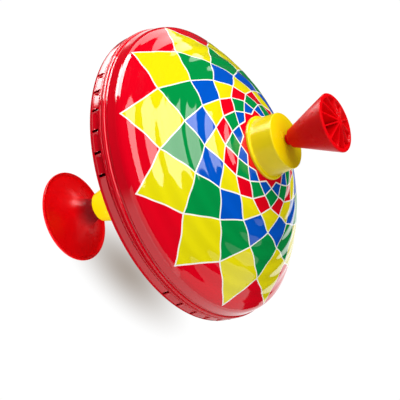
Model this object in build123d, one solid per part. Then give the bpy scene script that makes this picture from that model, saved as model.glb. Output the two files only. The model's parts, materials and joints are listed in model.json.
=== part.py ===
from build123d import *
import math
import os

# A push-and-spin humming top. A tin body turns on a plastic foot, and pumping the knob drives a
# twisted strip through a slotted nut, whose teeth turn the body on the way down.
# Millimetres. Z is the spin axis, and Z = 0 is the face that the foot stands on.

# ---- fits ----
SNUG = 0.03  # radial gap of pieces that are pressed, glued or clamped together
RUNNING = 0.05  # radial gap of the spindle in its bush
CLEAR = 0.4  # gap between pieces that turn past each other

# ---- foot and spindle ----
FOOT_RIM_R = 31.0
FOOT_RIM_Z = 2.8
FOOT_RIM_CROWN = (30.55, 3.15)
FOOT_RIM_BULGE = (30.6, 1.1)
FOOT_CREASE = (28.8, 2.05)
FOOT_FLARE = ((8.0, 17.5), (11.6, 10.4), (18.6, 5.5))
FOOT_UNDER = ((17.6, 3.4), (11.2, 7.6))
FOOT_BASE_R = 28.8
FOOT_BASE_INNER_R = 25.0
FOOT_LIP = 1.0
FOOT_NECK_R = 7.2
FOOT_TOP = 25.0
FOOT_BOSS_R = 5.5
FOOT_BOSS_Z = 5.0
FOOT_ROOF = (8.0, 11.0)
SPINDLE_R = 2.5
SPINDLE_TOP = 43.4
BALL_R = 2.0
BALL_Z = 44.0
CLIP_R = 4.2
CLIP_GROOVE_R = 1.9
CLIP_Z = 38.0
CLIP_T = 0.7
CLIP_MOUTH = 2.6

# ---- lower collar and what it holds ----
COLLAR_BOTTOM = FOOT_TOP + 0.8
CONE_BOTTOM_R = 9.8
CONE_TOP_R = 19.6
CONE_TOP = 65.0
CONE_WALL = 1.65
CONE_EDGE = 0.6
CONE_RIM = 0.4  # the rim of the cone stands this far above its outer edge
CONE_SEAT = 0.1
CONE_FLOOR = COLLAR_BOTTOM + 8
CONE_CEILING = CONE_TOP - 9
BUSH_R = 5.0
BUSH_TOP = 37.5
HUB_BORE_R = 6.2
HUB_R = 8.2
HUB_TOP = 62.0
LOWER_SKIRT_R = 17.0
LOWER_SKIRT_WALL = 1.6
LOWER_SKIRT_TOP = 71.0
LOCK_R = 22.0
LOCK_BOTTOM = 68.2
LOCK_TOP = 70.2
CUP_BOTTOM = BALL_Z + BALL_R + 0.3
CUP_TOP = 49.3

# ---- tin body ----
TIN = 0.8
LOWER_HOLE = (17.3, 65.6)
LOWER_ARC_END = (92.6, 97.1)
LOWER_SAG = 1.72
CORNER_R = 3.5
BAND_R = 94.45
BAND_BOTTOM = 100.2
BAND_TOP = 104.4
BAND_EDGE = 0.6
SEAM_Z = BAND_TOP + BAND_EDGE
TUCK_R = 92.3
TUCK_EDGE = 0.9
TUCK_TOP = 113.0
ROLL_R = 95.0
ROLL_START = (93.6, 109.7)
ROLL_Z = 108.4
CREASE = (94.4, 106.7)
LIP_EDGE = (94.9, 105.95)
LIP_END = (94.3, 105.2)
SHOULDER_START = (91.0, 119.75)
SHOULDER_END = (93.25, 115.5)
WALL_END = (93.9, 110.8)
SHOULDER_R = 7.0
DOME_MIDDLE = (60.6, 140.3)
UPPER_HOLE = (16.4, 157.2)

# ---- sound slots: groups of pressed louvres round the band ----
SLOT_GROUPS = 4
SLOTS_PER_GROUP = 6
SLOT_PITCH = 8.14  # degrees from slot to slot
SLOT_FIRST = 220.8  # bearing of the first slot, in degrees
SLOT_WIDTH = 1.8
SLOT_BOTTOM = 100.6
SLOT_TOP = 104.6
LIP_WIDTH = 0.9  # strip of the band left standing beside each slot
PANEL_SINK = 1.0  # how far the top of a pressed panel lies behind the band
PANEL_WALL = 0.6
PANEL_LAP = 0.5

# ---- upper collar, clutch and nut ----
FLANGE_R = 20.3
FLANGE_Z = 156.3
FLANGE_TOP = 158.2
FLANGE_DISH = 0.95
FLANGE_EDGE = 0.8
WALL_BOTTOM_R = 18.3
WALL_TOP_R = 17.65
COLLAR_TOP = 172.4
COLLAR_CROWN = 172.9
COLLAR_EDGE = 0.7
CAVITY_R = 14.2
CEILING = 170.6
UPPER_SKIRT_R = 16.2
UPPER_SKIRT_BOTTOM = 151.5
CLAMP_R = 20.0
CLAMP_BOTTOM = 152.6
CLAMP_TOP = 155.1
GUIDE_R = 5.0
GUIDE_BORE_R = 2.95
GUIDE_LIP_R = 7.5
GUIDE_BOTTOM = 169.0
SEAT_BOTTOM = 152.0
SEAT_TOP = 155.0
SEAT_LIP_R = 4.0
SEAT_LIP_Z = 153.5
TEETH = 12
TOOTH_H = 2.0
TOOTH_W = 3.6
TOOTH_INNER_R = 8.5
TOOTH_OUTER_R = 12.8
NUT_R = 13.0
NUT_BORE_R = 3.4
NUT_H = 5.6
NUT_Z = SEAT_TOP + 2 * TOOTH_H + CLEAR
PLATE_R = 9.0
PLATE_T = 1.2
SLOT_L = 5.5
SLOT_W = 2.2

# ---- guide tube, rod and knob ----
TUBE_R = HUB_BORE_R - SNUG
TUBE_BORE_R = 5.2
ROD_W = 5.0
ROD_T = 1.6
ROD_LEAD = 48.0  # height of one full twist of the strip
ROD_BOTTOM = 51.0
TWIST_TOP = 172.0
ROD_TOP = 196.0
STOP_R = 4.6
STOP_H = 3.0
STOP_FLOOR = 0.4
KNOB_BOTTOM = 173.3
KNOB_SLEEVE_R = 3.4
KNOB_END = 176.0
KNOB_NECK = (6.2, 177.4)
KNOB_NECK_EDGE = 0.8
KNOB_NECK_R = 1.6
KNOB_R = 18.3
KNOB_TOP = 206.7
KNOB_HUB_TOP = 209.5
KNOB_WALL = 1.3
KNOB_RIM = 0.7
KNOB_BOSS_R = 2.8
KNOB_POCKET_BOTTOM = 197.0
KNOB_RIBS = 12
KNOB_RIB_T = 0.9


def turned(outline):
    """The solid that a closed outline of (radius, height) edges sweeps round the Z axis."""
    return revolve(Plane.XZ * make_face(outline.edges()), Axis.Z)


def ring(inner, outer, bottom, top):
    """A plain turned ring with square corners."""
    return turned(Polyline((inner, bottom), (outer, bottom), (outer, top), (inner, top), close=True))


def disc(radius, bottom, top):
    """A plain cylinder on the spin axis."""
    return Pos(0, 0, bottom) * Cylinder(radius, top - bottom, align=(Align.CENTER, Align.CENTER, Align.MIN))


def around(piece, count):
    """Copies of a piece, evenly spaced round the spin axis."""
    return [Rot(0, 0, 360 / count * turn) * piece for turn in range(count)]


def skin(outline, side):
    """A turned sheet of tin. The outline is its outer face, and the metal lies to one side of it."""
    return turned(offset(Wire(outline.edges()), TIN, side=side, closed=True))


def foot():
    """Trumpet foot with an upturned lip, hollow beneath, with a boss that grips the spindle."""
    rim_inner = (FOOT_RIM_R - FOOT_LIP, FOOT_RIM_Z)
    outline = Line((SPINDLE_R + SNUG, FOOT_TOP), (FOOT_NECK_R, FOOT_TOP))
    outline += Spline((FOOT_NECK_R, FOOT_TOP), *FOOT_FLARE, FOOT_CREASE)
    outline += Line(FOOT_CREASE, rim_inner)
    outline += ThreePointArc(rim_inner, FOOT_RIM_CROWN, (FOOT_RIM_R, FOOT_RIM_Z))
    outline += ThreePointArc((FOOT_RIM_R, FOOT_RIM_Z), FOOT_RIM_BULGE, (FOOT_BASE_R, 0))
    outline += Line((FOOT_BASE_R, 0), (FOOT_BASE_INNER_R, 0))
    outline += Spline((FOOT_BASE_INNER_R, 0), *FOOT_UNDER, FOOT_ROOF)
    outline += Polyline(FOOT_ROOF, (FOOT_BOSS_R, FOOT_ROOF[1]), (FOOT_BOSS_R, FOOT_BOSS_Z),
                        (SPINDLE_R + SNUG, FOOT_BOSS_Z), (SPINDLE_R + SNUG, FOOT_TOP))
    return turned(outline)


def foot_spindle():
    """Steel spindle with a groove for its clip and a cupped end that carries the ball."""
    spindle = disc(SPINDLE_R, FOOT_BOSS_Z, SPINDLE_TOP)
    groove = ring(CLIP_GROOVE_R, SPINDLE_R + 1, CLIP_Z - SNUG, CLIP_Z + CLIP_T + SNUG)
    return spindle - groove - Pos(0, 0, BALL_Z) * Sphere(BALL_R + SNUG)


def spindle_clip():
    """Open retaining clip that keeps the body on the spindle."""
    mouth = Pos(CLIP_R, 0, CLIP_Z) * Box(2 * CLIP_R, CLIP_MOUTH, 4 * CLIP_T)
    return ring(CLIP_GROOVE_R + SNUG, CLIP_R, CLIP_Z, CLIP_Z + CLIP_T) - mouth


def pivot_ball():
    """Steel ball that the body turns on."""
    return Pos(0, 0, BALL_Z) * Sphere(BALL_R)


def bearing_bush():
    """Nylon bush that the spindle turns in."""
    return ring(SPINDLE_R + RUNNING, BUSH_R - SNUG, COLLAR_BOTTOM + CLEAR, BUSH_TOP)


def thrust_cup():
    """Steel plug over the ball, which carries the weight of the body."""
    return disc(HUB_BORE_R - SNUG, CUP_BOTTOM, CUP_TOP)


def bottom_collar():
    """Cone that joins the body to the foot, with a tubular hub for the bearing and guide tube."""
    slope = (CONE_TOP_R - CONE_BOTTOM_R) / (CONE_TOP - COLLAR_BOTTOM)
    floor_r = CONE_BOTTOM_R + slope * (CONE_FLOOR - COLLAR_BOTTOM) - CONE_WALL
    skirt_bore = LOWER_SKIRT_R - LOWER_SKIRT_WALL
    outline = Polyline(
        (BUSH_R, COLLAR_BOTTOM), (CONE_BOTTOM_R - CONE_EDGE, COLLAR_BOTTOM),
        (CONE_BOTTOM_R, COLLAR_BOTTOM + CONE_EDGE), (CONE_TOP_R, CONE_TOP),
        (CONE_TOP_R - CONE_EDGE, CONE_TOP + CONE_RIM), (LOWER_SKIRT_R, CONE_TOP + CONE_SEAT),
        (LOWER_SKIRT_R, LOWER_SKIRT_TOP), (skirt_bore, LOWER_SKIRT_TOP), (skirt_bore, CONE_CEILING),
        (floor_r, CONE_FLOOR), (HUB_R, CONE_FLOOR),
        (HUB_R, HUB_TOP), (HUB_BORE_R, HUB_TOP), (HUB_BORE_R, BUSH_TOP), (BUSH_R, BUSH_TOP), close=True)
    return turned(outline)


def bottom_lock_ring():
    """Ring inside the body that clamps the lower shell to the lower collar."""
    return ring(LOWER_SKIRT_R + SNUG, LOCK_R, LOCK_BOTTOM, LOCK_TOP)


def lower_outline():
    """Outer face of the lower shell: bowl, rounded corner, band, and the tuck inside the dome."""
    corner = (BAND_R, BAND_BOTTOM)
    outline = SagittaArc(LOWER_HOLE, LOWER_ARC_END, -LOWER_SAG)
    outline += RadiusArc(LOWER_ARC_END, corner, -CORNER_R)
    outline += Line(corner, (BAND_R, BAND_TOP))
    outline += RadiusArc((BAND_R, BAND_TOP), (BAND_R - BAND_EDGE, SEAM_Z), -BAND_EDGE)
    outline += Line((BAND_R - BAND_EDGE, SEAM_Z), (TUCK_R + TUCK_EDGE, SEAM_Z))
    outline += Line((TUCK_R + TUCK_EDGE, SEAM_Z), (TUCK_R, SEAM_Z + TUCK_EDGE))
    outline += Line((TUCK_R, SEAM_Z + TUCK_EDGE), (TUCK_R, TUCK_TOP))
    return outline


def slot_bearings(first, last):
    """Bearings of the slots numbered first to last in every group, in degrees."""
    return [SLOT_FIRST + 360 / SLOT_GROUPS * group + SLOT_PITCH * slot
            for group in range(SLOT_GROUPS) for slot in range(first, last + 1)]


def window(length):
    """A cut through the band, that ends at the lip beside a slot."""
    height = SLOT_TOP - SLOT_BOTTOM
    middle = (SLOT_WIDTH - length) / 2
    return Pos(BAND_R, middle, SLOT_BOTTOM + height / 2) * Box(4 * TIN, length, height)


def panel(length):
    """A pressed panel that leans inwards up the band, from a lip to the next slot."""
    face = BAND_R - TIN / 3
    sunk = face - PANEL_SINK
    top = SLOT_TOP - PANEL_LAP
    outline = Polyline((face, SLOT_BOTTOM - PANEL_LAP), (sunk, top), (face, SLOT_TOP + PANEL_LAP),
                       (face - PANEL_WALL, SLOT_TOP + PANEL_LAP), (sunk - PANEL_WALL, top),
                       (face - PANEL_WALL, SLOT_BOTTOM - PANEL_LAP), close=True)
    sheet = extrude(Plane.XZ * make_face(outline.edges()), length + PANEL_LAP)
    return Pos(0, -SLOT_WIDTH / 2, 0) * sheet


def lower_shell():
    """Tin bowl with a band of sound slots. A pressed panel lies between each slot and the next."""
    shell = skin(lower_outline(), Side.LEFT)
    pitch = math.radians(SLOT_PITCH) * BAND_R
    length = pitch - LIP_WIDTH
    shell -= [Rot(0, 0, bearing) * window(SLOT_WIDTH) for bearing in slot_bearings(0, 0)]
    shell -= [Rot(0, 0, bearing) * window(length) for bearing in slot_bearings(1, SLOTS_PER_GROUP - 1)]
    sheet = panel(length - SLOT_WIDTH)
    return shell + [Rot(0, 0, bearing) * sheet for bearing in slot_bearings(1, SLOTS_PER_GROUP - 1)]


def upper_shell():
    """Tin dome with a rounded shoulder and a double rolled seam that grips the lower shell."""
    outline = ThreePointArc(UPPER_HOLE, DOME_MIDDLE, SHOULDER_START)
    outline += RadiusArc(SHOULDER_START, SHOULDER_END, SHOULDER_R)
    outline += Polyline(SHOULDER_END, WALL_END, ROLL_START)
    outline += ThreePointArc(ROLL_START, (ROLL_R, ROLL_Z), CREASE)
    outline += ThreePointArc(CREASE, LIP_EDGE, LIP_END)
    return skin(outline, Side.RIGHT)


def top_collar():
    """Cup that holds the clutch, with a flange on the dome and a skirt through it."""
    wall_top = (WALL_TOP_R, COLLAR_TOP - COLLAR_EDGE)
    flange_edge = (FLANGE_R, FLANGE_TOP - FLANGE_EDGE)
    outline = Polyline(
        (CAVITY_R, UPPER_SKIRT_BOTTOM), (UPPER_SKIRT_R, UPPER_SKIRT_BOTTOM),
        (UPPER_SKIRT_R, FLANGE_Z + FLANGE_DISH), (FLANGE_R, FLANGE_Z), flange_edge)
    outline += RadiusArc(flange_edge, (FLANGE_R - FLANGE_EDGE, FLANGE_TOP), -FLANGE_EDGE)
    outline += Polyline((FLANGE_R - FLANGE_EDGE, FLANGE_TOP), (WALL_BOTTOM_R, FLANGE_TOP), wall_top)
    outline += RadiusArc(wall_top, (WALL_TOP_R - COLLAR_EDGE, COLLAR_TOP), -COLLAR_EDGE)
    outline += Polyline((WALL_TOP_R - COLLAR_EDGE, COLLAR_TOP), (GUIDE_R, COLLAR_CROWN), (GUIDE_R, CEILING),
                        (CAVITY_R, CEILING), (CAVITY_R, UPPER_SKIRT_BOTTOM))
    return turned(outline)


def rod_guide():
    """Bush in the top of the collar, flanged on the inside, that steadies the strip."""
    outline = Polyline(
        (GUIDE_BORE_R, GUIDE_BOTTOM), (GUIDE_LIP_R, GUIDE_BOTTOM), (GUIDE_LIP_R, CEILING),
        (GUIDE_R - SNUG, CEILING), (GUIDE_R - SNUG, COLLAR_CROWN), (GUIDE_BORE_R, COLLAR_CROWN), close=True)
    return turned(outline)


def top_lock_ring():
    """Ring under the dome that clamps it between the collar's flange and skirt."""
    return ring(UPPER_SKIRT_R + SNUG, CLAMP_R, CLAMP_BOTTOM, CLAMP_TOP)


def ratchet_teeth(base, height):
    """A circle of saw teeth on a face at the height base, pointing up, or down if height is negative."""
    side = Plane(origin=(TOOTH_INNER_R, 0, base), x_dir=(0, 1, 0), z_dir=(1, 0, 0))
    outline = Polyline((0, 0), (TOOTH_W, 0), (0, height), close=True)
    return around(extrude(side * make_face(outline), TOOTH_OUTER_R - TOOTH_INNER_R), TEETH)


def clutch_ring():
    """Toothed seat fixed in the collar. Its inner lip stops the rod from being pulled out."""
    outline = Polyline(
        (SEAT_LIP_R, SEAT_LIP_Z), (SEAT_LIP_R, SEAT_TOP), (CAVITY_R - SNUG, SEAT_TOP),
        (CAVITY_R - SNUG, SEAT_BOTTOM), (HUB_BORE_R, SEAT_BOTTOM), (HUB_BORE_R, SEAT_LIP_Z), close=True)
    return turned(outline) + ratchet_teeth(SEAT_TOP, TOOTH_H)


def drive_nut():
    """Nut with saw teeth beneath, lifted clear of its seat, and a recess for the slotted plate."""
    nut = ring(NUT_BORE_R, NUT_R, NUT_Z, NUT_Z + NUT_H)
    nut += ratchet_teeth(NUT_Z, -TOOTH_H)
    return nut - disc(PLATE_R + SNUG, NUT_Z + NUT_H - PLATE_T, NUT_Z + NUT_H + 1)


def strip_angle(height):
    """How far the strip has twisted at a height, in degrees."""
    return 360 * (height - ROD_BOTTOM) / ROD_LEAD


def slot_plate():
    """Steel plate whose slot rides on the twisted strip."""
    bottom = NUT_Z + NUT_H - PLATE_T
    slot = Pos(0, 0, bottom) * Rot(0, 0, strip_angle(bottom + PLATE_T / 2)) * Box(SLOT_L, SLOT_W, 4 * PLATE_T)
    return disc(PLATE_R, bottom, bottom + PLATE_T) - slot


def guide_tube():
    """Steel tube between the two collars, in which the rod's stop runs."""
    return ring(TUBE_BORE_R, TUBE_R, CUP_TOP, SEAT_LIP_Z)


def spiral_rod():
    """Steel strip, twisted over the length that the nut meets and straight inside the knob."""
    section = Pos(0, 0, ROD_BOTTOM) * Rectangle(ROD_W, ROD_T).face()
    rise = TWIST_TOP - ROD_BOTTOM
    start = (0, 0, ROD_BOTTOM)
    twisted = Solid.extrude_linear_with_rotation(section, start, (0, 0, rise), strip_angle(TWIST_TOP))
    length = ROD_TOP - TWIST_TOP
    tang = Box(ROD_W, ROD_T, length, align=(Align.CENTER, Align.CENTER, Align.MIN))
    return Part(twisted.wrapped) + Pos(0, 0, TWIST_TOP) * Rot(0, 0, strip_angle(TWIST_TOP)) * tang


def rod_stop():
    """Collet crimped on the lower end of the strip, which keeps it in the tube."""
    slug = disc(STOP_R, ROD_BOTTOM - STOP_FLOOR, ROD_BOTTOM + STOP_H)
    return slug - disc(math.hypot(ROD_W, ROD_T) / 2 + SNUG, ROD_BOTTOM, ROD_BOTTOM + STOP_H + 1)


def knob_body():
    """The knob's outer cone with a sleeve below it, a rounded neck and rim, and a low cone over its mouth."""
    end = (KNOB_NECK[0] - KNOB_NECK_EDGE, KNOB_END)
    outline = Polyline((0, KNOB_HUB_TOP), (0, KNOB_BOTTOM), (KNOB_SLEEVE_R, KNOB_BOTTOM),
                       (KNOB_SLEEVE_R, KNOB_END), end)
    outline += RadiusArc(end, KNOB_NECK, -KNOB_NECK_R)
    outline += Line(KNOB_NECK, (KNOB_R, KNOB_TOP - KNOB_RIM))
    outline += RadiusArc((KNOB_R, KNOB_TOP - KNOB_RIM), (KNOB_R - KNOB_RIM, KNOB_TOP), -KNOB_RIM)
    outline += Polyline((KNOB_R - KNOB_RIM, KNOB_TOP), (KNOB_BOSS_R, KNOB_HUB_TOP), (0, KNOB_HUB_TOP))
    return turned(outline)


def knob_hollow():
    """The open space in the knob's mouth, cut into sectors by ribs that rise to the hub."""
    taper = (KNOB_R - KNOB_NECK[0]) / (KNOB_TOP - KNOB_RIM - KNOB_NECK[1])
    mouth = KNOB_R - KNOB_WALL
    deep = mouth - taper * (KNOB_TOP - KNOB_POCKET_BOTTOM)
    pocket = turned(Polyline((KNOB_BOSS_R, KNOB_POCKET_BOTTOM), (deep, KNOB_POCKET_BOTTOM), (mouth, KNOB_TOP),
                             (mouth, KNOB_HUB_TOP), (KNOB_BOSS_R, KNOB_HUB_TOP), close=True))
    rib = Pos(KNOB_R / 2, 0, KNOB_POCKET_BOTTOM) * Box(
        KNOB_R, KNOB_RIB_T, KNOB_HUB_TOP - KNOB_POCKET_BOTTOM, align=(Align.CENTER, Align.CENTER, Align.MIN))
    return pocket - around(rib, KNOB_RIBS)


def knob():
    """Pump knob: a hollow ribbed cone, moulded on the straight end of the strip."""
    length = ROD_TOP - TWIST_TOP
    tang = Box(ROD_W + 2 * SNUG, ROD_T + 2 * SNUG, length + SNUG,
               align=(Align.CENTER, Align.CENTER, Align.MIN))
    socket = Pos(0, 0, TWIST_TOP) * Rot(0, 0, strip_angle(TWIST_TOP)) * tang
    return knob_body() - knob_hollow() - socket


PIECES = [foot, foot_spindle, spindle_clip, pivot_ball, bearing_bush, thrust_cup, bottom_collar,
          bottom_lock_ring, lower_shell, upper_shell, top_collar, rod_guide, top_lock_ring, clutch_ring,
          drive_nut, slot_plate, guide_tube, spiral_rod, rod_stop, knob]

os.makedirs("parts", exist_ok=True)
for piece in PIECES:
    export_step(piece(), f"parts/{piece.__name__}.step")
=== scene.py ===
import json
import math

import bmesh
import bpy
from mathutils import Matrix, Vector


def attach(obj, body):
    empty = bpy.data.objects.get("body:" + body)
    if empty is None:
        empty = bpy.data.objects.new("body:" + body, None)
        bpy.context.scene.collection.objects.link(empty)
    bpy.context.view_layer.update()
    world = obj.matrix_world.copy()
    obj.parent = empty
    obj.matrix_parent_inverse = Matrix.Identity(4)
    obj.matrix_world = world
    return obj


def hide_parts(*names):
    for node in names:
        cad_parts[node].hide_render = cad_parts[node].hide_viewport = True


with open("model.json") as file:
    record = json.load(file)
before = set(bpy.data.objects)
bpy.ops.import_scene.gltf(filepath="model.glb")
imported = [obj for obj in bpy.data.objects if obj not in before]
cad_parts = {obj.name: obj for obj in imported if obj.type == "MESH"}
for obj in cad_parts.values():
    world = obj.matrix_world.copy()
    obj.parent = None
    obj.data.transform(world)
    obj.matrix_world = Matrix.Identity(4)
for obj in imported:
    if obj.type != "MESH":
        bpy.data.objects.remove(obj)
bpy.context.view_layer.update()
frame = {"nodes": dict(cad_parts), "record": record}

# Looks of a push-and-spin humming top. Lengths named here are in millimetres, as in the part's drawing,
# and MM turns them into metres. The spin axis is Z, and the foot stands on Z = 0.
MM = 0.001
SHARP = math.radians(38)  # edges that turn more than this stay crisp

# ---- view ----
VIEW_ELEVATION = 31.58  # degrees
VIEW_ROLL = 71.06
VIEW_DISTANCE = 710.7
VIEW_LENS = 103.1
VIEW_AIM_Z = 131.7
VIEW_SHIFT = (19.2, 24.7)  # how far the aim point lies right of and above the picture's centre

# ---- floor, in metres ----
FLOOR_SIZE = 12.0
FLOOR_WHITE = (1.02, 1.02, 1.02, 1.0)
SHADE = (0.42, 0.37, 0.33, 1.0)
SHADE_AT = (0.048, 0.040, 0.0)
SHADE_TURN = math.radians(45)
SHADE_REACH = (0.085, 0.042, 1.0)
RING_START = (0.19, 0.24)  # the floor near the foot is dim in reflections, as the object shades it
RING_END = (0.27, 0.31)
RING_SIDES = (-0.1, 0.2)  # x over radius: the ring has an outer end only left of here
RING_GLOW = 1.2
LAMP_SIDES = (-0.88, -0.94)
LAMP_END = (0.295, 0.255)
LAMP_GLOW = 13.0
TAIL_BEARING = math.radians(191)
TAIL_WIDTH = (0.965, 0.985)  # cosines of the angles off the tail's bearing
TAIL_START = (0.45, 0.55)
TAIL_GLOW = 15.0
DIM_GLOW = 0.05
BOUNCE = 0.62
UNDER_BOUNCE = 2.2
UNDER_END = (0.2, 0.12)
UNDER_SIDES = (0.06, -0.03)
UNDER_SHARE = 0.7

# ---- printed pattern ----
FOLD = 12
PATTERN_TURN = 241.45  # bearing of one outer tip, degrees
RING_RADII = (91.7, 75.5, 60.6, 50.7, 42.1, 36.7, 31.0, 25.4, 22.0)
LINE_HALF_WIDTH = 0.38

# ---- tin dome ----
DOME_POINTS = ((16.4, 157.2), (60.6, 140.3), (91.0, 119.75))
SHOULDER_START = DOME_POINTS[2]
SHOULDER_R = 7.0
SHOULDER_END = (93.25, 115.5)
WALL_END = (93.93, 111.4)
GROOVE = (93.35, 110.6)
ROLL_START = (93.7, 109.6)
ROLL_TOP = (94.65, 109.2)
ROLL_EDGE = (95.0, 108.5)
CREASE = (94.4, 106.6)
LIP_EDGE = (94.9, 105.95)
LIP_END = (94.3, 105.2)
TIN = 0.8
RIPPLE_MIDDLE = 60.0  # the rings that pressing leaves in the dome, as a change of its slope
RIPPLE_REACH = 30.0
RIPPLE_SLOPE = 0.197
RIPPLE_SLOPE_DRIFT = -0.013
RIPPLE_LENGTH = 9.84
RIPPLE_LENGTH_DRIFT = -1.307
RIPPLE_PHASE = 1.97
DOME_TILT = -0.0736
DOME_TILT_DRIFT = 0.0535

# ---- tin bowl and its sound slots ----
BOWL_POINTS = ((17.3, 65.6), (92.6, 97.1))
BOWL_SAG = 1.72
CORNER_R = 3.5
BAND_R = 94.45
BAND_BOTTOM = 100.2
BAND_TOP = 104.4
SEAM_Z = 105.0
TUCK_R = 92.3
TUCK_TOP = 113.0
SLOT_GROUPS = 4
SLOTS_PER_GROUP = 6
SLOT_PITCH = 8.14
SLOT_FIRST = 220.8
SLOT_WIDTH = 1.7
SLOT_BOTTOM = 99.6
SLOT_TOP = 104.75
PANEL_BOTTOM = 100.9
PANEL_TOP = 104.4
PANEL_SINK = 0.9
LIP_WIDTH = 0.8
LIP_RISE = 0.25
PANEL_SHARES = (0, 0.02, 0.05, 0.09, 0.14, 0.2, 0.3, 0.4, 0.5, 0.6, 0.7, 0.8, 0.9, 0.96)
PANEL_EASE = 0.09  # share of a panel's length over which it sinks beside the slot
PANEL_CREST = 0.86  # share of a panel's height at which it lies deepest
TUCK_EDGE = 0.9
BAND_INNER = TUCK_R + 1.2

# ---- collars: the corners of each outline, and the radius that rounds each corner ----
TOP_COLLAR = ((14.2, 151.5), (16.2, 151.5), (16.2, 157.2), (20.3, 156.3), (20.3, 158.2), (18.3, 158.2),
              (17.65, 172.4), (5.0, 172.9), (5.0, 170.6), (14.2, 170.6))
TOP_COLLAR_RADII = (0.3, 0.3, 0, 0.3, 0.9, 0.5, 0.8, 0.3, 0.1, 0.5)
BOTTOM_COLLAR = ((5.0, 25.8), (9.8, 25.8), (19.6, 65.0), (19.0, 65.4), (17.0, 65.1), (17.0, 71.0),
                 (15.4, 71.0), (15.4, 56.0), (10.15, 33.8), (8.2, 33.8), (8.2, 62.0), (6.2, 62.0),
                 (6.2, 37.5), (5.0, 37.5))
BOTTOM_COLLAR_RADII = (0.2, 0.8, 0.3, 0, 0, 0.3, 0.3, 0.5, 0.6, 0.6, 0.3, 0.3, 0, 0)

# ---- foot ----
FOOT_FLARE = ((7.2, 24.6), (7.35, 21.0), (8.0, 17.5), (11.6, 10.4), (18.6, 5.5), (28.2, 2.05))
FOOT_LIP = ((28.8, 2.1), (29.5, 2.5), (30.0, 2.85), (30.3, 3.05), (30.6, 3.1), (30.85, 2.95), (31.0, 2.6),
            (30.9, 1.8), (30.55, 1.1), (29.9, 0.45), (29.0, 0.05), (28.4, 0.0), (25.2, 0.0))
FOOT_UNDER = ((24.8, 0.1), (17.6, 3.4), (11.2, 7.6), (8.0, 11.0))
FOOT_BOSS = ((5.7, 11.0), (5.5, 10.8), (5.5, 5.2), (5.3, 5.0), (2.53, 5.0), (2.53, 25.0), (6.8, 25.0),
             (7.1, 24.9))
FOOT_NECK_SHADE = (0.0068, 0.0118)  # metres from the axis, over which the painted shade round the foot's neck fades out

# ---- knob ----
KNOB_TOP = 206.7
KNOB_HUB_TOP = 209.5
KNOB_R = 18.3
KNOB_NECK = (6.2, 177.4)
KNOB_END = 176.0
KNOB_BOTTOM = 173.3
KNOB_SLEEVE_R = 3.4
KNOB_AXIS_R = 0.02  # the turned outline stops just short of the axis
KNOB_WALL = 1.2
KNOB_BOSS_R = 2.3
KNOB_FLOOR = 197.0
KNOB_RIB_HALF = 0.42
KNOB_RIBS = 12
KNOB_EDGE = 0.18


def rgb(red, green, blue):
    """Linear colour, with alpha, of an sRGB colour given in 0 to 255."""
    def linear(value):
        value /= 255
        return value / 12.92 if value <= 0.04045 else ((value + 0.055) / 1.055) ** 2.4
    return (linear(red), linear(green), linear(blue), 1.0)


INK_RED = rgb(222, 0, 26)
INK_YELLOW = rgb(228, 216, 10)
INK_GREEN = rgb(0, 140, 64)
INK_BLUE = rgb(0, 82, 190)
INK_WHITE = rgb(246, 244, 236)
PLASTIC_RED = rgb(226, 0, 10)
PLASTIC_YELLOW = rgb(244, 218, 0)
# painted shade: the dark red that the foot's colour turns to round its neck
NECK_SHADE_RED = rgb(120, 0, 8)
STEEL_DARK = rgb(150, 150, 154)
STEEL_LIGHT = rgb(205, 205, 206)
NYLON = rgb(232, 228, 214)
CELL_INKS = (INK_RED, INK_YELLOW, INK_GREEN, INK_BLUE, INK_YELLOW, INK_RED, INK_GREEN, INK_BLUE, INK_RED)


# ---------------------------------------------------------------- node helpers

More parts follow.
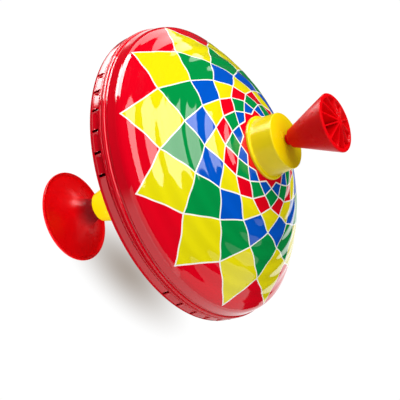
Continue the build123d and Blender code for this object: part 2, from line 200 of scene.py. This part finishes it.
class Nodes:
    """Builds a material's node tree, one short call per node."""

    def __init__(self, name):
        self.material = bpy.data.materials.new(name)
        self.material.use_nodes = True
        self.tree = self.material.node_tree
        self.shader = self.tree.nodes["Principled BSDF"]

    def add(self, kind, inputs=None, **settings):
        node = self.tree.nodes.new(kind)
        for key, value in settings.items():
            setattr(node, key, value)
        for key, value in (inputs or {}).items():
            self.feed(node.inputs[key], value)
        return node

    def feed(self, socket, value):
        if isinstance(value, bpy.types.NodeSocket):
            self.tree.links.new(value, socket)
        else:
            socket.default_value = value

    def math(self, operation, first, second=0.0, third=0.0):
        node = self.add("ShaderNodeMath", {0: first, 1: second, 2: third}, operation=operation)
        return node.outputs[0]

    def mix(self, factor, first, second):
        node = self.add("ShaderNodeMix", data_type="RGBA")
        self.feed(node.inputs[0], factor)
        self.feed(node.inputs[6], first)
        self.feed(node.inputs[7], second)
        return node.outputs[2]

    def noise(self, scale, detail=2.0, roughness=0.5, vector=None):
        node = self.add("ShaderNodeTexNoise", {"Scale": scale, "Detail": detail, "Roughness": roughness})
        if vector is not None:
            self.feed(node.inputs["Vector"], vector)
        return node.outputs["Fac"]

    def spread(self, factor, low, high):
        node = self.add("ShaderNodeMapRange", {"Value": factor, "From Min": 0.3, "From Max": 0.7,
                                               "To Min": low, "To Max": high})
        return node.outputs["Result"]

    def dot(self, first, second):
        node = self.add("ShaderNodeVectorMath", {0: first, 1: second}, operation="DOT_PRODUCT")
        return node.outputs["Value"]

    def radius(self):
        """Distance from the spin axis."""
        split = self.add("ShaderNodeSeparateXYZ", {0: self.place()})
        x, y = split.outputs[0], split.outputs[1]
        return self.math("SQRT", self.math("ADD", self.math("MULTIPLY", x, x), self.math("MULTIPLY", y, y)))

    def step(self, value, start, end):
        """Rises smoothly from 0 to 1 as a value goes from start to end."""
        if isinstance(end, float) and end < start:
            return self.math("SUBTRACT", 1.0, self.step(value, end, start))
        node = self.add("ShaderNodeMapRange", {"Value": value, "From Min": start, "From Max": end},
                        interpolation_type="SMOOTHSTEP")
        return node.outputs["Result"]

    def bump(self, height, distance, strength=1.0):
        node = self.add("ShaderNodeBump", {"Height": height, "Distance": distance, "Strength": strength})
        self.feed(self.shader.inputs["Normal"], node.outputs["Normal"])

    def place(self):
        return self.add("ShaderNodeTexCoord").outputs["Object"]


def enamel(nodes, colour, gloss):
    """Gloss paint or lacquer on tin: a smooth coat with faint orange peel and slightly uneven gloss."""
    place = nodes.place()
    nodes.feed(nodes.shader.inputs["Base Color"], colour)
    sheen = nodes.noise(60.0, 3.0, 0.6, place)
    nodes.feed(nodes.shader.inputs["Roughness"], nodes.spread(sheen, gloss, gloss + 0.05))
    nodes.shader.inputs["IOR"].default_value = 1.52
    nodes.bump(nodes.noise(420.0, 2.0, 0.5, place), 0.00001)


def shaded(nodes, colour, amount, scale):
    """A colour that drifts a little lighter and darker over the surface."""
    drift = nodes.spread(nodes.noise(scale, 3.0, 0.55, nodes.place()), 0.0, 1.0)
    dark = tuple(channel * (1 - amount) for channel in colour[:3]) + (1.0,)
    return nodes.mix(drift, dark, colour)


def pattern_corner(level):
    """Where a pattern corner lies in the folded wedge: even levels on its first side, odd on its second."""
    angle = math.pi / FOLD if level % 2 else 0.0
    radius = RING_RADII[level] * MM
    return Vector((radius * math.cos(angle), radius * math.sin(angle), 0.0))


def pattern_colour(nodes):
    """The printed pattern. Turned and folded into one wedge, it is a zigzag of straight lines."""
    split = nodes.add("ShaderNodeSeparateXYZ", {0: nodes.place()})
    x, y = split.outputs[0], split.outputs[1]
    wedge = 2 * math.pi / FOLD
    bearing = nodes.math("ARCTAN2", y, x)
    turned = nodes.math("SUBTRACT", bearing, math.radians(PATTERN_TURN) - 2 * math.pi)
    folded = nodes.math("PINGPONG", turned, wedge / 2)
    radius = nodes.radius()
    point = nodes.add("ShaderNodeCombineXYZ", {
        0: nodes.math("MULTIPLY", radius, nodes.math("COSINE", folded)),
        1: nodes.math("MULTIPLY", radius, nodes.math("SINE", folded))}).outputs[0]
    colour = CELL_INKS[0]
    nearest = None
    for level in range(len(RING_RADII) - 1):
        start, end = pattern_corner(level), pattern_corner(level + 1)
        along = (end - start).normalized()
        normal = Vector((-along.y, along.x, 0.0))
        if normal.dot(start) < 0:
            normal.negate()
        reach = nodes.dot(point, normal)
        beyond = nodes.math("SUBTRACT", reach, normal.dot(start))
        inside = nodes.math("LESS_THAN", beyond, 0.0)
        colour = nodes.mix(inside, colour, CELL_INKS[level + 1])
        off_line = nodes.math("ABSOLUTE", beyond)
        past_tip = nodes.math("SUBTRACT", radius, RING_RADII[level] * MM)
        short = nodes.math("SUBTRACT", RING_RADII[level + 1] * MM, radius)
        off_line = nodes.math("MAXIMUM", off_line, nodes.math("MAXIMUM", past_tip, short))
        nearest = off_line if nearest is None else nodes.math("MINIMUM", nearest, off_line)
    line = nodes.math("LESS_THAN", nearest, LINE_HALF_WIDTH * MM)
    return nodes.mix(line, colour, INK_WHITE)


def printed_tin():
    """Tin of the dome, printed all over and lacquered."""
    nodes = Nodes("printed_tin")
    enamel(nodes, pattern_colour(nodes), 0.03)
    return nodes.material


def red_tin():
    """Tin of the bowl, enamelled red."""
    nodes = Nodes("red_tin")
    enamel(nodes, shaded(nodes, INK_RED, 0.08, 25.0), 0.03)
    return nodes.material


def moulded(name, colour, gloss, shine, painted_shade=None):
    """Gloss moulded plastic: fine mould texture, slight flow marks, a little light through the wall. If asked
    for, a painted shade darkens the colour near the axis.
    """
    nodes = Nodes(name)
    place = nodes.place()
    base = shaded(nodes, colour, 0.07, 40.0)
    if painted_shade:
        # painted shade: near the axis the colour darkens to a shaded red, standing in for the shadow round
        # the neck
        base = nodes.mix(nodes.step(nodes.radius(), *painted_shade), NECK_SHADE_RED, base)
    nodes.feed(nodes.shader.inputs["Base Color"], base)
    sheen = nodes.noise(90.0, 4.0, 0.6, place)
    nodes.feed(nodes.shader.inputs["Roughness"], nodes.spread(sheen, gloss, gloss + 0.08))
    nodes.shader.inputs["IOR"].default_value = 1.49
    nodes.shader.inputs["Specular IOR Level"].default_value = shine
    nodes.shader.inputs["Subsurface Weight"].default_value = 0.03
    nodes.shader.inputs["Subsurface Scale"].default_value = 0.002
    nodes.shader.inputs["Subsurface Radius"].default_value = (1.0, 0.6, 0.3)
    nodes.bump(nodes.noise(900.0, 3.0, 0.6, place), 0.000015)
    return nodes.material


def steel():
    """Drawn bright steel, with fine lines across the grain."""
    nodes = Nodes("bright_steel")
    stretch = nodes.add("ShaderNodeMapping", {"Vector": nodes.place(), "Scale": (60.0, 60.0, 2600.0)})
    lines = nodes.noise(1.0, 4.0, 0.6, stretch.outputs[0])
    nodes.shader.inputs["Metallic"].default_value = 1.0
    colour = nodes.mix(nodes.spread(lines, 0.0, 1.0), STEEL_DARK, STEEL_LIGHT)
    nodes.feed(nodes.shader.inputs["Base Color"], colour)
    nodes.feed(nodes.shader.inputs["Roughness"], nodes.spread(lines, 0.22, 0.38))
    nodes.bump(lines, 0.00001)
    return nodes.material


def nylon():
    """Natural moulded nylon, waxy and slightly mottled."""
    nodes = Nodes("natural_nylon")
    nodes.feed(nodes.shader.inputs["Base Color"], shaded(nodes, NYLON, 0.1, 120.0))
    sheen = nodes.noise(200.0, 3.0, 0.6, nodes.place())
    nodes.feed(nodes.shader.inputs["Roughness"], nodes.spread(sheen, 0.35, 0.5))
    nodes.shader.inputs["Subsurface Weight"].default_value = 0.15
    nodes.shader.inputs["Subsurface Scale"].default_value = 0.002
    nodes.bump(nodes.noise(700.0, 3.0, 0.6, nodes.place()), 0.00002)
    return nodes.material


# ---------------------------------------------------------------- shape helpers

def arc(start, end, centre, count):
    """Points on an arc about a centre, from start to end, both included."""
    first = math.atan2(start[1] - centre[1], start[0] - centre[0])
    last = math.atan2(end[1] - centre[1], end[0] - centre[0])
    sweep = (last - first + math.pi) % (2 * math.pi) - math.pi
    radius = math.dist(start, centre)
    return [(centre[0] + radius * math.cos(first + sweep * i / count),
             centre[1] + radius * math.sin(first + sweep * i / count)) for i in range(count + 1)]


def circle_through(a, b, c):
    """Centre and radius of the circle through three points."""
    d = 2 * (a[0] * (b[1] - c[1]) + b[0] * (c[1] - a[1]) + c[0] * (a[1] - b[1]))
    squares = [p[0] ** 2 + p[1] ** 2 for p in (a, b, c)]
    x = (squares[0] * (b[1] - c[1]) + squares[1] * (c[1] - a[1]) + squares[2] * (a[1] - b[1])) / d
    y = (squares[0] * (c[0] - b[0]) + squares[1] * (a[0] - c[0]) + squares[2] * (b[0] - a[0])) / d
    return (x, y), math.dist((x, y), a)


def rounded(points, radii, count=5):
    """A closed outline with its corners rounded: one radius for each point, 0 for a sharp one."""
    out = []
    for i, corner in enumerate(points):
        corner = Vector(corner)
        before = Vector(points[i - 1])
        after = Vector(points[(i + 1) % len(points)])
        radius = radii[i]
        if radius <= 0:
            out.append(tuple(corner))
            continue
        into, away = (before - corner).normalized(), (after - corner).normalized()
        half = into.angle(away) / 2
        room = min((before - corner).length, (after - corner).length)
        reach = min(radius / math.tan(half), 0.49 * room)
        radius = reach * math.tan(half)
        centre = corner + (into + away).normalized() * (radius / math.sin(half))
        out += arc(tuple(corner + into * reach), tuple(corner + away * reach), tuple(centre), count)
    return out


def lathe(name, outline, segments=192):
    """A closed outline of (radius, height) points, turned about Z into one smooth closed mesh."""
    mesh = bpy.data.meshes.new(name)
    count = len(outline)
    verts = []
    for s in range(segments):
        angle = 2 * math.pi * s / segments
        cos, sin = math.cos(angle), math.sin(angle)
        verts += [(r * MM * cos, r * MM * sin, z * MM) for r, z in outline]
    faces = []
    for s in range(segments):
        here, there = s * count, (s + 1) % segments * count
        faces += [quad(here, there, i, (i + 1) % count) for i in range(count)]
    mesh.from_pydata(verts, [], faces)
    tidy(mesh)
    piece = bpy.data.objects.new(name, mesh)
    bpy.context.scene.collection.objects.link(piece)
    return piece


def quad(here, there, first, second):
    """A face between two columns of points, from the first row to the second."""
    return (here + first, there + first, there + second, here + second)


def tidy(mesh):
    """Welds doubled points, turns all faces outwards and shades them smooth."""
    shape = bmesh.new()
    shape.from_mesh(mesh)
    bmesh.ops.remove_doubles(shape, verts=shape.verts, dist=1e-7)
    bmesh.ops.dissolve_degenerate(shape, edges=shape.edges, dist=1e-8)
    bmesh.ops.recalc_face_normals(shape, faces=shape.faces)
    shape.to_mesh(mesh)
    shape.free()
    mesh.shade_smooth()
    mesh.set_sharp_from_angle(angle=SHARP)


def finish_piece(piece, body, node, material):
    """Gives a piece its material, and has it ride on its body in place of its CAD node."""
    piece.data.materials.clear()
    piece.data.materials.append(material)
    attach(piece, body)
    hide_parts(node)


# ---------------------------------------------------------------- pieces

def dome_outline():
    """The dome's outer face from its hole to its shoulder, with the faint rings that pressing leaves."""
    centre, reach = circle_through(*DOME_POINTS)
    inner, outer = DOME_POINTS[0][0], DOME_POINTS[2][0]
    steps = 300
    step = (outer - inner) / steps
    offsets = [0.0]
    for i in range(steps):
        radius = inner + (i + 0.5) * step
        place = (radius - RIPPLE_MIDDLE) / RIPPLE_REACH
        length = RIPPLE_LENGTH + RIPPLE_LENGTH_DRIFT * place
        wave = 2 * math.pi * (radius - RIPPLE_MIDDLE) / length + RIPPLE_PHASE
        fade = max(0.0, min(1.0, (radius - inner - 7) / 8, (outer - radius) / 3))
        tilt = (RIPPLE_SLOPE + RIPPLE_SLOPE_DRIFT * place) * math.cos(wave) * fade
        offsets.append(offsets[-1] - (tilt + DOME_TILT + DOME_TILT_DRIFT * place) * step)
    rise = offsets[-1] / steps
    out = []
    for i, offset in enumerate(offsets):
        radius = inner + i * step
        height = centre[1] + math.sqrt(reach ** 2 - (radius - centre[0]) ** 2)
        out.append((radius, height + offset - rise * i))
    return out


def sheet(outline, side):
    """A closed outline of a sheet of tin, from the outline of its outer face."""
    back = []
    for i in range(len(outline) - 1, -1, -1):
        before, after = Vector(outline[max(i - 1, 0)]), Vector(outline[min(i + 1, len(outline) - 1)])
        along = (after - before).normalized() * side
        back.append((outline[i][0] + TIN * along.y, outline[i][1] - TIN * along.x))
    return outline + back


def arc_through(start, middle, end, count):
    """Points on the arc through three points."""
    centre, _ = circle_through(start, middle, end)
    return arc(start, middle, centre, count) + arc(middle, end, centre, count)[1:]


def arc_of(start, end, radius, side, count):
    """Points on the shorter arc of a given radius, which bulges to the left if side is 1, or right if -1."""
    start, end = Vector(start), Vector(end)
    chord = end - start
    inwards = Vector((chord.y, -chord.x)).normalized() * side
    centre = (start + end) / 2 + inwards * math.sqrt(radius ** 2 - chord.length_squared / 4)
    return arc(tuple(start), tuple(end), tuple(centre), count)


def upper_shell(material):
    """Dome, shoulder and double rolled seam, as one closed sheet of tin."""
    top = dome_outline()
    top += arc_of(SHOULDER_START, SHOULDER_END, SHOULDER_R, 1, 16)[1:]
    top += [(SHOULDER_END[0] + (WALL_END[0] - SHOULDER_END[0]) * t,
             SHOULDER_END[1] + (WALL_END[1] - SHOULDER_END[1]) * t) for t in (0.35, 0.7, 0.93)]
    top += arc_through(WALL_END, GROOVE, ROLL_START, 4)
    top += arc_through(ROLL_START, ROLL_TOP, ROLL_EDGE, 6)[1:] + [(ROLL_EDGE[0] - 0.04, ROLL_EDGE[1] - 0.4)]
    top += arc_through(CREASE, LIP_EDGE, LIP_END, 6)
    piece = lathe("printed_dome", sheet(top, 1), 288)
    finish_piece(piece, "spinning_body", "upper_shell", material)


def slot_columns():
    """Bearings of the mesh columns round the bowl, each with its place in the slots' pattern.

    The place is (kind, share), where the kind is a slot, the lip beside it, the pressed panel up to the next
    slot, or plain band.
    """
    per_mm = math.degrees(1 / BAND_R)
    slot, lip = SLOT_WIDTH * per_mm, LIP_WIDTH * per_mm
    columns = []
    for group in range(SLOT_GROUPS):
        first = SLOT_FIRST + 360 / SLOT_GROUPS * group
        for index in range(SLOTS_PER_GROUP):
            start = first + SLOT_PITCH * index - slot / 2
            columns += [(start + slot * i / 4, "slot", i / 4) for i in range(4)]
            columns += [(start + slot + lip * i / 4, "lip", i / 4) for i in range(4)]
            begin = start + slot + lip
            if index < SLOTS_PER_GROUP - 1:
                length = SLOT_PITCH - slot - lip
                columns += [(begin + length * share, "panel", share) for share in PANEL_SHARES]
            else:
                length = 360 / SLOT_GROUPS - SLOT_PITCH * (SLOTS_PER_GROUP - 1) - slot - lip
                columns += [(begin + length * i / 24, "band", i / 24) for i in range(24)]
    return columns


def press(kind, share, z):
    """How far the band is pressed in, or raised if negative, at a place on it."""
    if kind == "lip" and SLOT_BOTTOM < z < SLOT_TOP:
        fade = min(1.0, (z - SLOT_BOTTOM) / 0.8, (SLOT_TOP - z) / 0.3)
        return -LIP_RISE * math.sin(math.pi * share) * fade
    if kind != "panel" or not PANEL_BOTTOM < z < PANEL_TOP:
        return 0.0
    height = (z - PANEL_BOTTOM) / (PANEL_TOP - PANEL_BOTTOM)
    ease = min(1.0, share / PANEL_EASE)
    depth = min(height / PANEL_CREST, (1 - height) / (1 - PANEL_CREST))
    return PANEL_SINK * depth * ease * ease * (3 - 2 * ease)


def bowl_outline():
    """Outer face of the bowl: its curve, corner, band, and the tuck inside the dome's seam."""
    chord = math.dist(*BOWL_POINTS)
    out = arc_of(*BOWL_POINTS, chord ** 2 / (8 * BOWL_SAG) + BOWL_SAG / 2, -1, 40)
    out += arc_of(BOWL_POINTS[1], (BAND_R, BAND_BOTTOM), CORNER_R, -1, 8)[1:]
    rows = 12
    out += [(BAND_R, BAND_BOTTOM + (BAND_TOP - BAND_BOTTOM) * (i + 1) / rows) for i in range(rows)]
    edge = SEAM_Z - BAND_TOP
    out += arc((BAND_R, BAND_TOP), (BAND_R - edge, SEAM_Z), (BAND_R - edge, BAND_TOP), 4)[1:]
    return out + [(TUCK_R + TUCK_EDGE, SEAM_Z), (TUCK_R + 0.25, SEAM_Z + 0.3), (TUCK_R, SEAM_Z + TUCK_EDGE),
                  (TUCK_R, TUCK_TOP)]


def lower_shell(material):
    """Bowl with its band of sound slots. Each slot is an opening, with a pressed panel up to the next."""
    outline = sheet(bowl_outline(), -1)
    count = len(outline)
    columns = slot_columns()
    verts = []
    for bearing, kind, share in columns:
        cos, sin = math.cos(math.radians(bearing)), math.sin(math.radians(bearing))
        for r, z in outline:
            r -= press(kind, share, z) if r > BAND_INNER else 0.0
            verts.append((r * MM * cos, r * MM * sin, z * MM))
    pierced = [i for i in range(count // 2 - 1) if outline[i][0] > BAND_INNER
               and SLOT_BOTTOM <= outline[i][1] and outline[i + 1][1] <= SLOT_TOP]
    open_rows = set(pierced) | {count - 2 - i for i in pierced}
    first_row, last_row = pierced[0], pierced[-1] + 1
    faces = []
    for c, (_, kind, share) in enumerate(columns):
        here, there = c * count, (c + 1) % len(columns) * count
        for i in range(count):
            if kind != "slot" or i not in open_rows:
                faces.append(quad(here, there, i, (i + 1) % count))
        if kind == "slot":
            faces += [quad(here, there, i, count - 1 - i) for i in (first_row, last_row)]
            sides = [here] * (share == 0) + [there] * (columns[c + 1][1] != "slot")
            faces += [(side + i, side + i + 1, side + count - 2 - i, side + count - 1 - i)
                      for side in sides for i in pierced]
    mesh = bpy.data.meshes.new("slotted_bowl")
    mesh.from_pydata(verts, [], faces)
    tidy(mesh)
    piece = bpy.data.objects.new("slotted_bowl", mesh)
    bpy.context.scene.collection.objects.link(piece)
    finish_piece(piece, "spinning_body", "lower_shell", material)


def top_collar(material):
    """Yellow cup on the dome, with its flange and its skirt through the dome."""
    piece = lathe("yellow_collar", rounded(TOP_COLLAR, TOP_COLLAR_RADII, 6))
    finish_piece(piece, "spinning_body", "top_collar", material)


def bottom_collar(material):
    """Yellow cone between the body and the foot, with its hub inside."""
    piece = lathe("yellow_cone", rounded(BOTTOM_COLLAR, BOTTOM_COLLAR_RADII, 5))
    finish_piece(piece, "spinning_body", "bottom_collar", material)


def curve_points(points, count):
    """Points on a smooth curve through a few given ones."""
    out = []
    last = len(points) - 1
    for i in range(last):
        p0, p1 = Vector(points[max(i - 1, 0)]), Vector(points[i])
        p2, p3 = Vector(points[i + 1]), Vector(points[min(i + 2, last)])
        for k in range(count):
            t = k / count
            out.append(tuple(0.5 * (2 * p1 + (p2 - p0) * t + (2 * p0 - 5 * p1 + 4 * p2 - p3) * t * t
                                    + (3 * p1 - p0 - 3 * p2 + p3) * t ** 3)))
    return out + [tuple(points[-1])]


def foot(material):
    """Trumpet foot with a low lip, hollow beneath, with the boss that grips the spindle."""
    outline = curve_points(FOOT_FLARE, 8) + list(FOOT_LIP) + curve_points(FOOT_UNDER, 6) + list(FOOT_BOSS)
    piece = lathe("red_foot", outline)
    finish_piece(piece, "foot_unit", "foot", material)


def knob_pocket():
    """One open sector between two ribs, as a closed solid that stands a little out of the mouth."""
    taper = (KNOB_R - KNOB_NECK[0]) / (KNOB_TOP - KNOB_NECK[1])
    mesh = bpy.data.meshes.new("pocket")
    half = math.pi / KNOB_RIBS
    steps = 6
    verts = []
    for z in (KNOB_FLOOR, KNOB_HUB_TOP + 1.0):
        outer = KNOB_R - KNOB_WALL - taper * max(KNOB_TOP - z, 0.0)
        inner = KNOB_BOSS_R + 0.4
        for radius in (inner, outer):
            edge = half - math.asin(KNOB_RIB_HALF / radius)
            turns = [edge * (2 * i / steps - 1) for i in range(steps + 1)]
            verts += [(radius * MM * math.cos(turn), radius * MM * math.sin(turn), z * MM) for turn in turns]
    row = steps + 1
    low = list(range(row)) + list(range(2 * row - 1, row - 1, -1))
    high = [2 * row + i for i in low]
    faces = [low[::-1], high]
    count = len(low)
    faces += [(low[i], low[(i + 1) % count], high[(i + 1) % count], high[i]) for i in range(count)]
    mesh.from_pydata(verts, [], faces)
    tidy(mesh)
    return mesh


def knob(material):
    """Hollow cone with thin ribs across its mouth, cut from a turned solid and softened at its edges."""
    neck_r = KNOB_NECK[0]
    outline = [(KNOB_AXIS_R, KNOB_BOTTOM), (KNOB_SLEEVE_R, KNOB_BOTTOM), (KNOB_SLEEVE_R, KNOB_END),
               (neck_r - 0.9, KNOB_END), (neck_r - 0.5, KNOB_END + 0.15), (neck_r - 0.2, KNOB_END + 0.55),
               KNOB_NECK, (KNOB_R - 0.05, KNOB_TOP - 0.9), (KNOB_R, KNOB_TOP - 0.5),
               (KNOB_R - 0.2, KNOB_TOP - 0.12), (KNOB_R - 0.5, KNOB_TOP), (KNOB_R - KNOB_WALL, KNOB_TOP),
               (KNOB_BOSS_R, KNOB_HUB_TOP), (KNOB_AXIS_R, KNOB_HUB_TOP)]
    piece = lathe("red_knob", outline, 144)
    pockets = bpy.data.meshes.new("pockets")
    shape = bmesh.new()
    pocket = knob_pocket()
    for turn in range(KNOB_RIBS):
        first = len(shape.verts)
        shape.from_mesh(pocket)
        shape.verts.ensure_lookup_table()
        spin = Matrix.Rotation(2 * math.pi * (turn + 0.5) / KNOB_RIBS, 3, "Z")
        bmesh.ops.rotate(shape, verts=shape.verts[first:], matrix=spin)
    shape.to_mesh(pockets)
    shape.free()
    cutter = bpy.data.objects.new("pockets", pockets)
    bpy.context.scene.collection.objects.link(cutter)
    cut = piece.modifiers.new("cut", "BOOLEAN")
    cut.operation = "DIFFERENCE"
    cut.solver = "EXACT"
    cut.object = cutter
    soften = piece.modifiers.new("soften", "BEVEL")
    soften.width = KNOB_EDGE * MM
    soften.segments = 2
    soften.limit_method = "ANGLE"
    soften.angle_limit = math.radians(40)
    apply_modifiers(piece)
    bpy.data.objects.remove(cutter)
    piece.data.set_sharp_from_angle(angle=SHARP)
    finish_piece(piece, "plunger", "knob", material)


def apply_modifiers(piece):
    """Bakes a piece's modifiers into its mesh."""
    bpy.context.view_layer.update()
    graph = bpy.context.evaluated_depsgraph_get()
    piece.data = bpy.data.meshes.new_from_object(piece.evaluated_get(graph))
    piece.modifiers.clear()


# ---------------------------------------------------------------- stage

def add_camera():
    """The view: level bearing along +Y, tilted down, and rolled so that the spin axis points right."""
    elevation, roll = math.radians(VIEW_ELEVATION), math.radians(VIEW_ROLL)
    right = Vector((1, 0, 0))
    back = Vector((0, -math.cos(elevation), math.sin(elevation)))
    up = Vector((0, math.sin(elevation), math.cos(elevation)))
    across = right * math.cos(roll) + up * math.sin(roll)
    upward = up * math.cos(roll) - right * math.sin(roll)
    place = Vector((0, 0, VIEW_AIM_Z)) + back * VIEW_DISTANCE
    place -= across * VIEW_SHIFT[0] + upward * VIEW_SHIFT[1]
    camera = bpy.data.objects.new("camera", bpy.data.cameras.new("camera"))
    camera.data.lens = VIEW_LENS
    camera.data.sensor_width = 36
    camera.data.clip_start = 0.01
    turn = Matrix((across, upward, back)).transposed().to_4x4()
    camera.matrix_world = Matrix.Translation(place * MM) @ turn
    bpy.context.scene.collection.objects.link(camera)
    bpy.context.scene.camera = camera


def add_panel(name, bearing, elevation, distance, width, height, radiance, spin=0.0):
    """A soft rectangular light that faces the object's middle. Angles in degrees, lengths in metres."""
    light = bpy.data.lights.new(name, "AREA")
    light.shape = "RECTANGLE"
    light.size, light.size_y = width, height
    light.energy = radiance * math.pi * width * height
    lamp = bpy.data.objects.new(name, light)
    b, e = math.radians(bearing), math.radians(elevation)
    direction = Vector((math.cos(e) * math.cos(b), math.cos(e) * math.sin(b), math.sin(e)))
    middle = Vector((0, 0, VIEW_AIM_Z * MM))
    across = Vector((0, 0, 1)).cross(direction).normalized()
    turn = Matrix((across, direction.cross(across), direction)).transposed().to_4x4()
    turn = turn @ Matrix.Rotation(math.radians(spin), 4, "Z")
    lamp.matrix_world = Matrix.Translation(middle + direction * distance) @ turn
    bpy.context.scene.collection.objects.link(lamp)
    return lamp


def add_world():
    """White to the camera, dim to reflections, and an even fill for matt light."""
    world = bpy.data.worlds.new("studio")
    bpy.context.scene.world = world
    world.use_nodes = True
    tree = world.node_tree
    path = tree.nodes.new("ShaderNodeLightPath")
    shade = tree.nodes["Background"]
    shade.inputs["Color"].default_value = (1, 1, 1, 1)
    fill = tree.nodes.new("ShaderNodeMix")
    fill.inputs[2].default_value = 0.18
    fill.inputs[3].default_value = 0.02
    tree.links.new(path.outputs["Is Glossy Ray"], fill.inputs[0])
    seen = tree.nodes.new("ShaderNodeMix")
    seen.inputs[3].default_value = 1.0
    tree.links.new(path.outputs["Is Camera Ray"], seen.inputs[0])
    tree.links.new(fill.outputs[0], seen.inputs[2])
    tree.links.new(seen.outputs[0], shade.inputs["Strength"])


def add_floor():
    """A pale floor, white but for the soft shade beside the foot.

    What it gives off depends on who looks: the camera sees the shade, reflections see a ring of lit floor, a
    bright patch and its tail to the left, and matt light comes mostly from just beneath the object.
    """
    mesh = bpy.data.meshes.new("floor")
    shape = bmesh.new()
    bmesh.ops.create_grid(shape, x_segments=8, y_segments=8, size=FLOOR_SIZE)
    shape.to_mesh(mesh)
    shape.free()
    floor = bpy.data.objects.new("floor", mesh)
    bpy.context.scene.collection.objects.link(floor)
    nodes = Nodes("floor")
    x = nodes.add("ShaderNodeSeparateXYZ", {0: nodes.place()}).outputs[0]
    radius = nodes.radius()
    side = nodes.math("DIVIDE", x, radius)
    near = nodes.step(radius, *RING_START)
    away = nodes.math("SUBTRACT", 1.0, nodes.step(side, *RING_SIDES))
    past = nodes.math("MULTIPLY", nodes.step(radius, *RING_END), away)
    ring = nodes.math("MULTIPLY", near, nodes.math("SUBTRACT", 1.0, past))
    lamp = nodes.math("MULTIPLY", near, nodes.step(side, *LAMP_SIDES))
    lamp = nodes.math("MULTIPLY", lamp, nodes.step(radius, *LAMP_END))
    ahead = nodes.dot(nodes.place(), (math.cos(TAIL_BEARING), math.sin(TAIL_BEARING), 0.0))
    ahead = nodes.math("DIVIDE", ahead, radius)
    tail = nodes.math("MULTIPLY", nodes.step(ahead, *TAIL_WIDTH), nodes.step(radius, *TAIL_START))
    gloss = nodes.math("MULTIPLY_ADD", ring, RING_GLOW, nodes.math("MULTIPLY_ADD", lamp, LAMP_GLOW, DIM_GLOW))
    gloss = nodes.math("MULTIPLY_ADD", tail, TAIL_GLOW, gloss)
    share = nodes.math("MULTIPLY_ADD", nodes.step(x, *UNDER_SIDES), 1 - UNDER_SHARE, UNDER_SHARE)
    under = nodes.math("MULTIPLY", nodes.step(radius, *UNDER_END), share)
    bounce = nodes.math("MULTIPLY_ADD", under, UNDER_BOUNCE, BOUNCE)
    blob = nodes.add("ShaderNodeMapping", {"Vector": nodes.place(), "Location": SHADE_AT,
                                           "Rotation": (0, 0, SHADE_TURN), "Scale": SHADE_REACH},
                     vector_type="TEXTURE")
    reach = nodes.add("ShaderNodeVectorMath", {0: blob.outputs[0]}, operation="LENGTH").outputs["Value"]
    pale = nodes.mix(nodes.step(reach, 0.0, 1.0), SHADE, FLOOR_WHITE)
    path = nodes.add("ShaderNodeLightPath")
    glow = nodes.mix(path.outputs["Is Glossy Ray"], bounce, gloss)
    glow = nodes.mix(path.outputs["Is Camera Ray"], glow, pale)
    nodes.shader.inputs["Base Color"].default_value = (0.0, 0.0, 0.0, 1)
    nodes.shader.inputs["Roughness"].default_value = 1.0
    nodes.shader.inputs["Specular IOR Level"].default_value = 0.0
    nodes.feed(nodes.shader.inputs["Emission Color"], glow)
    nodes.shader.inputs["Emission Strength"].default_value = 1.0
    floor.data.materials.append(nodes.material)


add_camera()
add_world()
add_floor()
add_panel("key", 189.3, 69.0, 1.3, 1.028, 0.784, 5.3, 63.5)
add_panel("streak", 183, 2, 1.3, 0.85, 1.0, 16.0, 8).visible_diffuse = False
add_panel("streak_tail", 146, 1, 1.3, 1.0, 0.6, 2.4).visible_diffuse = False
add_panel("back_fill", 182, 25, 1.3, 0.8, 0.6, 6.0).visible_glossy = False
add_panel("side_fill", 330, 20, 1.3, 1.2, 1.0, 1.0).visible_glossy = False
add_panel("top_fill", 305, 66, 1.3, 1.1, 1.0, 1.0).visible_glossy = False
add_panel("wall_near", 302, 10, 1.3, 1.8, 1.2, 0.9).visible_diffuse = False
add_panel("wall_side", 5, 20, 1.5, 2.2, 1.3, 0.8).visible_diffuse = False
bpy.context.scene.view_settings.view_transform = "Standard"

red_plastic = moulded("red_plastic", PLASTIC_RED, 0.24, 0.12)
yellow_plastic = moulded("yellow_plastic", PLASTIC_YELLOW, 0.2, 0.3)
upper_shell(printed_tin())
lower_shell(red_tin())
top_collar(yellow_plastic)
bottom_collar(yellow_plastic)
# the foot's colour is darkened near its neck: a painted shade
foot(moulded("foot_plastic", PLASTIC_RED, 0.24, 0.12, painted_shade=FOOT_NECK_SHADE))
knob(red_plastic)

FINISHES = {"steel": steel(), "nylon": nylon(), "yellow_plastic": yellow_plastic}
slots = {part["node"]: part["material_slot"] for part in frame["record"]["subparts"]}
for node, cad in frame["nodes"].items():
    if slots[node] in FINISHES:
        cad.data.materials.clear()
        cad.data.materials.append(FINISHES[slots[node]])
